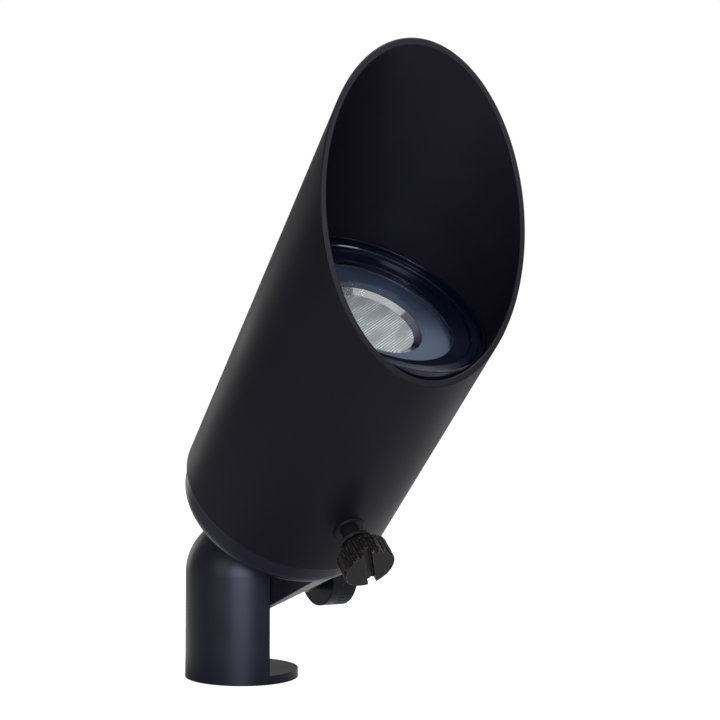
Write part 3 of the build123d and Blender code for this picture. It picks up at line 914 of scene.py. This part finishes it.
# The front box draws the pale band down the stem, the rim box lights the mouth's rim, the left and back
# boxes the tube's left edge, the right box its top and right side, and the top box the lamp's face.
SOFTBOXES = (
    Softbox("front_box", (-388.0, -700.0, 100.0), (0.0, 0.0, 40.0), (540.0, 200.0), 13.5, "#dcdeff"),
    Softbox("rim_box", (345.0, -680.0, 330.0), (0.0, -80.0, 130.0), (220.0, 160.0), 2.4, "#f4f4ff"),
    Softbox("left_box", (-900.0, -330.0, 230.0), (0.0, -60.0, 100.0), (420.0, 420.0), 3.0),
    Softbox("back_box", (-130.0, 1000.0, 150.0), (0.0, -40.0, 110.0), (360.0, 600.0), 1.0),
    Softbox("right_box", (480.0, 0.0, 800.0), (0.0, -60.0, 100.0), (400.0, 400.0), 7.0),
    Softbox("top_box", (120.0, -420.0, 820.0), (0.0, -70.0, 110.0), (260.0, 200.0), 12.0, "#f6f8ff"),
)


@dataclass
class Studio:
    """Floor and surroundings that look white, soft lamps, and the camera at the photograph's angle.

    The lamps are brighter than a plain level, and the black finishes are written darker to make up for it.
    mirrored is the share of the white background that glossy rays get. At 1.0 metal and glass show it all.
    """

    lens_mm: float = 53.61
    sensor_mm: float = 36.0
    clip: tuple[float, float] = (0.01, 50.0)
    shift: tuple[float, float] = (0.1392, 0.1112)
    eye: tuple[float, float, float] = (-164.48, -311.67, 65.47)
    turn: float = -28.757
    pitch: float = 1.848
    roll: float = 0.147
    floor_size: float = 8.0
    floor_paper: str = "#a8a8a8"
    surroundings: float = 0.26
    floor_lift: float = 0.93
    mirrored: float = 0.2

    def build(self) -> None:
        """Sets the whole stage."""
        scene = bpy.context.scene
        scene.view_settings.view_transform = "Standard"
        self._camera(scene)
        self._world(scene)
        self._floor()
        for softbox in SOFTBOXES:
            softbox.hang()

    def _camera(self, scene: bpy.types.Scene) -> None:
        """Makes the camera.

        Args:
            scene: the scene that gets it.
        """
        data = bpy.data.cameras.new("camera")
        data.lens, data.sensor_width, data.sensor_fit = self.lens_mm, self.sensor_mm, "HORIZONTAL"
        data.shift_x, data.shift_y = self.shift
        data.clip_start, data.clip_end = self.clip
        camera = bpy.data.objects.new("camera", data)
        angles = (math.radians(90.0 + self.pitch), 0.0, math.radians(self.turn))
        level = Euler(angles).to_matrix().to_4x4()
        place = Matrix.Translation(Vector(self.eye) * MM)
        camera.matrix_world = place @ level @ Matrix.Rotation(math.radians(self.roll), 4, "Z")
        scene.collection.objects.link(camera)
        scene.camera = camera

    def _seen(self, tree: bpy.types.NodeTree) -> bpy.types.NodeSocket:
        """Tells the rays that look at the background from those that light the object.

        Args:
            tree: the node tree that asks.

        Returns:
            1 for camera and transmission rays, mirrored for glossy rays, and 0 for the others.
        """
        path = add_node(tree, "ShaderNodeLightPath").outputs
        mirror = add_node(
            tree,
            "ShaderNodeMath",
            {"operation": "MULTIPLY"},
            {0: path["Is Glossy Ray"], 1: self.mirrored},
        ).outputs[0]
        first = add_node(
            tree, "ShaderNodeMath", {"operation": "MAXIMUM"}, {0: path["Is Camera Ray"], 1: mirror}
        ).outputs[0]
        return add_node(
            tree, "ShaderNodeMath", {"operation": "MAXIMUM"}, {0: first, 1: path["Is Transmission Ray"]}
        ).outputs[0]

    def _world(self, scene: bpy.types.Scene) -> None:
        """Makes the white surroundings.

        Args:
            scene: the scene that gets them.
        """
        world = bpy.data.worlds.new("white_studio")
        world.use_nodes = True
        tree = world.node_tree
        tree.nodes.clear()
        strength = add_node(
            tree,
            "ShaderNodeMapRange",
            {},
            {"Value": self._seen(tree), "To Min": self.surroundings, "To Max": 1.0},
        ).outputs[0]
        light = add_node(
            tree, "ShaderNodeBackground", {}, {"Color": linear("#ffffff"), "Strength": strength}
        )
        add_node(tree, "ShaderNodeOutputWorld", {}, {"Surface": light.outputs[0]})
        scene.world = world

    def _floor(self) -> None:
        """Makes the floor: matt grey paper that glows white for the camera, which washes out the shadow."""
        half = self.floor_size / 2.0
        mesh = bpy.data.meshes.new("floor")
        edges = [(-half, -half, 0.0), (half, -half, 0.0), (half, half, 0.0), (-half, half, 0.0)]
        mesh.from_pydata(edges, [], [(0, 1, 2, 3)])
        material = bpy.data.materials.new("matt_white_paper")
        material.use_nodes = True
        tree = material.node_tree
        tree.nodes.clear()
        paper = add_node(tree, "ShaderNodeBsdfDiffuse", {}, {"Color": linear(self.floor_paper)})
        lift = add_node(
            tree, "ShaderNodeMath", {"operation": "MULTIPLY"}, {0: self._seen(tree), 1: self.floor_lift}
        ).outputs[0]
        glow = add_node(
            tree, "ShaderNodeEmission", {}, {"Color": linear("#ffffff"), "Strength": lift}
        )
        both = add_node(tree, "ShaderNodeAddShader", {}, {0: paper.outputs[0], 1: glow.outputs[0]})
        add_node(tree, "ShaderNodeOutputMaterial", {}, {"Surface": both.outputs[0]})
        mesh.materials.append(material)
        floor = bpy.data.objects.new("floor", mesh)
        bpy.context.scene.collection.objects.link(floor)


def main() -> None:
    """Builds every sub-assembly and the stage."""
    logging.basicConfig(level=logging.INFO, format="%(name)s: %(message)s")
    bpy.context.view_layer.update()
    for assembly in (Knuckle(), Housing(), Lamp(), LensRing(), Shroud(), Screws(), Studio()):
        assembly.build()
        log.info("built %s", type(assembly).__name__)
    bpy.context.view_layer.update()


if __name__ == "__main__":
    main()
